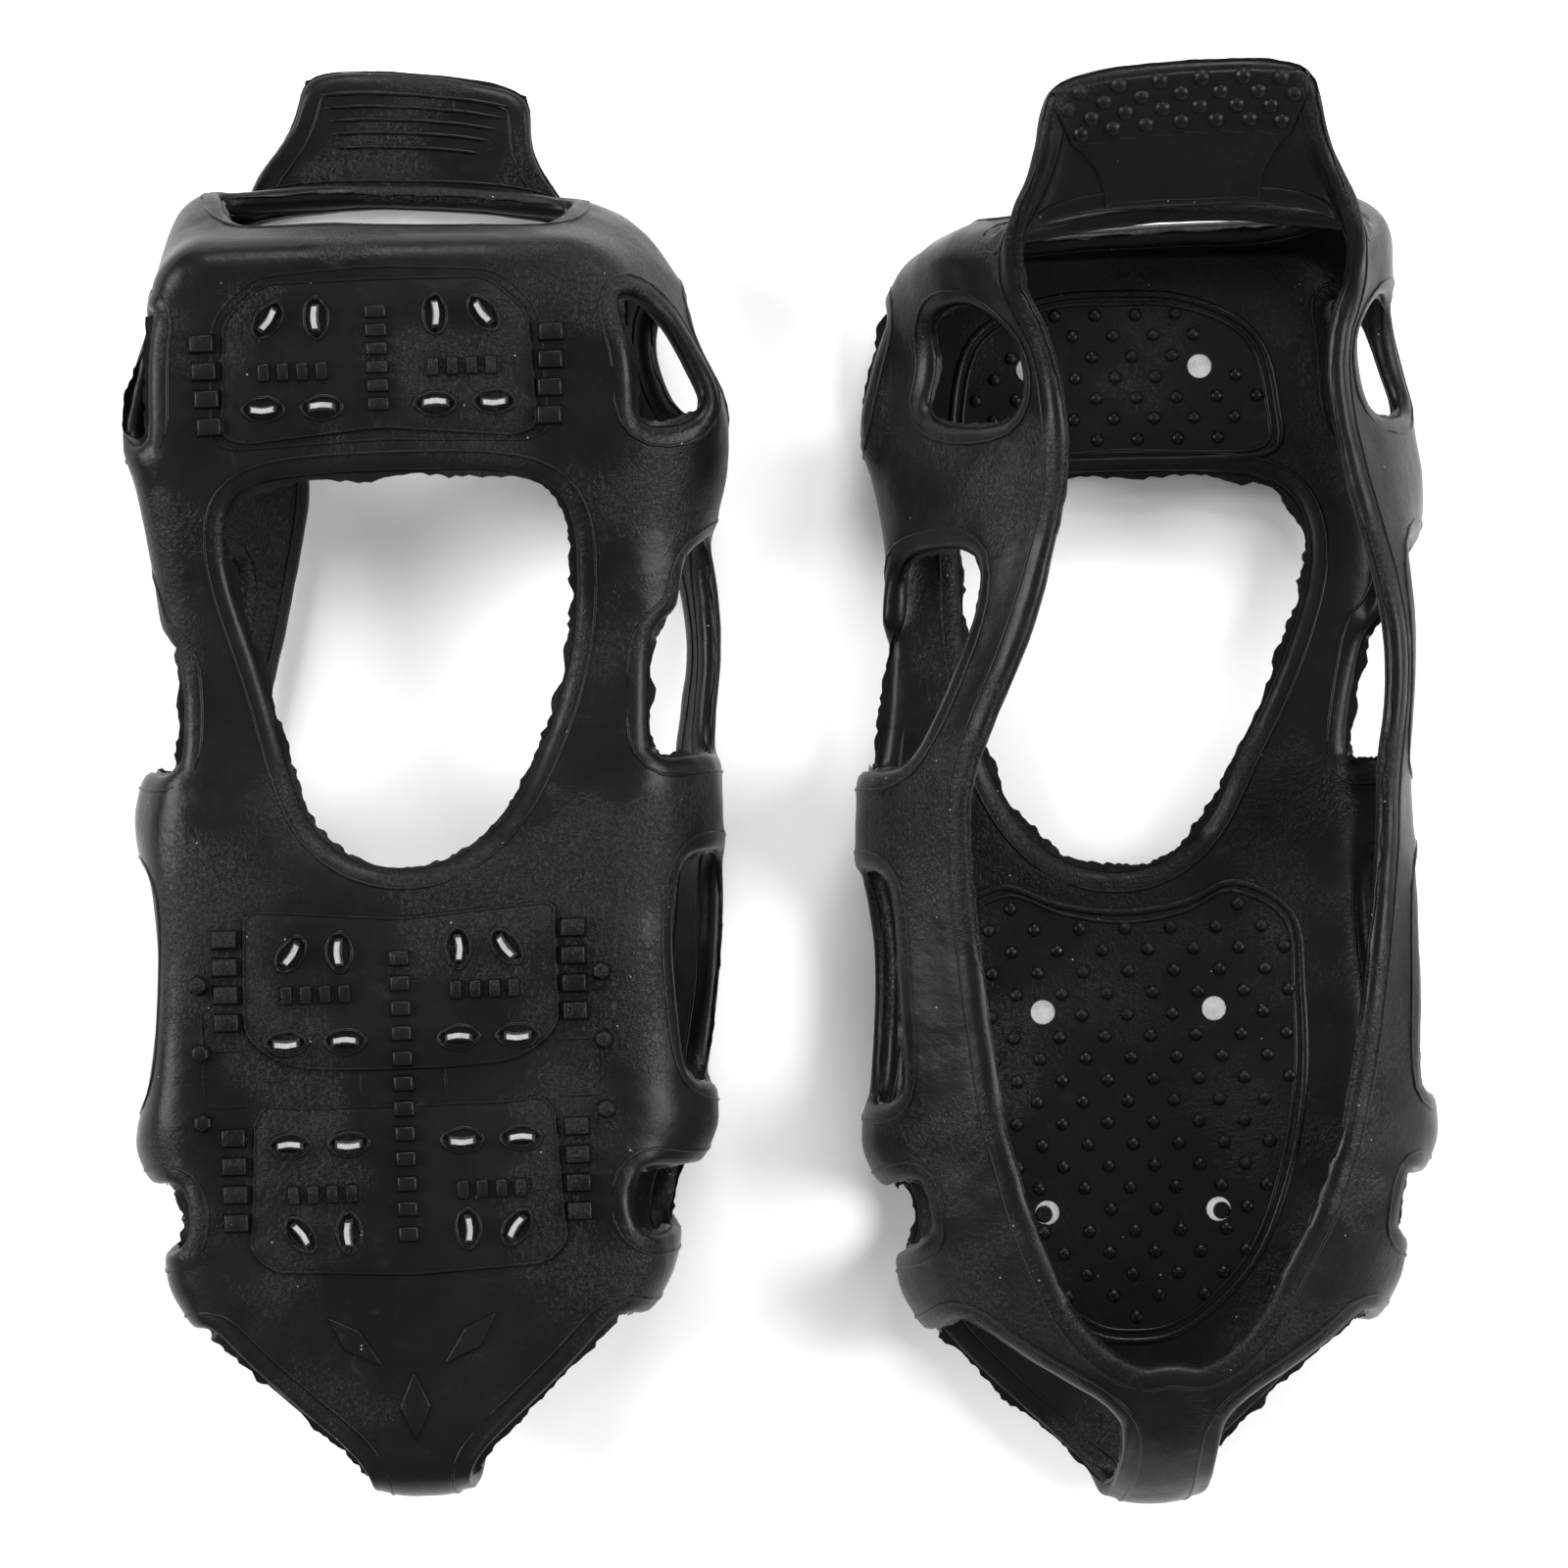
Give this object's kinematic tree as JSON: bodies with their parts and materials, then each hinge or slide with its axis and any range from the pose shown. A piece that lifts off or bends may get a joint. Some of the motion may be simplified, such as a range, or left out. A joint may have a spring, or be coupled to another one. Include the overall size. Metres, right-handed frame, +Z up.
{
  "type": "shoe ice cleats",
  "caption": "Slip-on rubber shoe ice cleats: open over-shoe harnesses with a top rim, side arms, a heel pull strap and steel stud plates whose teeth stand out under the sole",
  "frame": {"origin": "the centre of the two cleats' common bounding box, on the ground plane under them", "axes": "+X from the upturned left cleat to the right cleat, +Y to the heels, +Z up"},
  "size_m": [0.2458, 0.27, 0.0691],
  "materials": {
    "right_rubber": "satin black moulded rubber",
    "left_rubber": "satin black moulded rubber",
    "right_steel": "bright stamped stainless steel",
    "left_steel": "bright stamped stainless steel"
  },
  "bodies": {
    "right_cleat": {"right_harness": "right_rubber", "right_stud_plate_1": "right_steel", "right_stud_plate_2": "right_steel", "right_stud_plate_3": "right_steel", "right_stud_plate_4": "right_steel", "right_stud_plate_5": "right_steel", "right_stud_plate_6": "right_steel"},
    "right_strap": {"right_heel_strap": "right_rubber"},
    "left_cleat": {"left_harness": "left_rubber", "left_stud_plate_1": "left_steel", "left_stud_plate_2": "left_steel", "left_stud_plate_3": "left_steel", "left_stud_plate_4": "left_steel", "left_stud_plate_5": "left_steel", "left_stud_plate_6": "left_steel"},
    "left_strap": {"left_heel_strap": "left_rubber"}
  },
  "joints": [
    {"name": "left_cleat_lift", "type": "slide", "parent": "right_cleat", "child": "left_cleat", "axis": [0, 0, 1], "range_m": [0, 0.12]},
    {"name": "right_strap_hinge", "type": "hinge", "parent": "right_cleat", "child": "right_strap", "pos_m": [0.07413, 0.0958, 0.0482], "axis": [0.9997, 0.0227, 0], "range_deg": [-12, 40], "stiffness_Nm_per_rad": 0.05},
    {"name": "left_strap_hinge", "type": "hinge", "parent": "left_cleat", "child": "left_strap", "pos_m": [-0.06516, 0.09467, 0.002], "axis": [-0.9993, -0.0366, 0], "range_deg": [-5, 35], "stiffness_Nm_per_rad": 0.05}
  ]
}
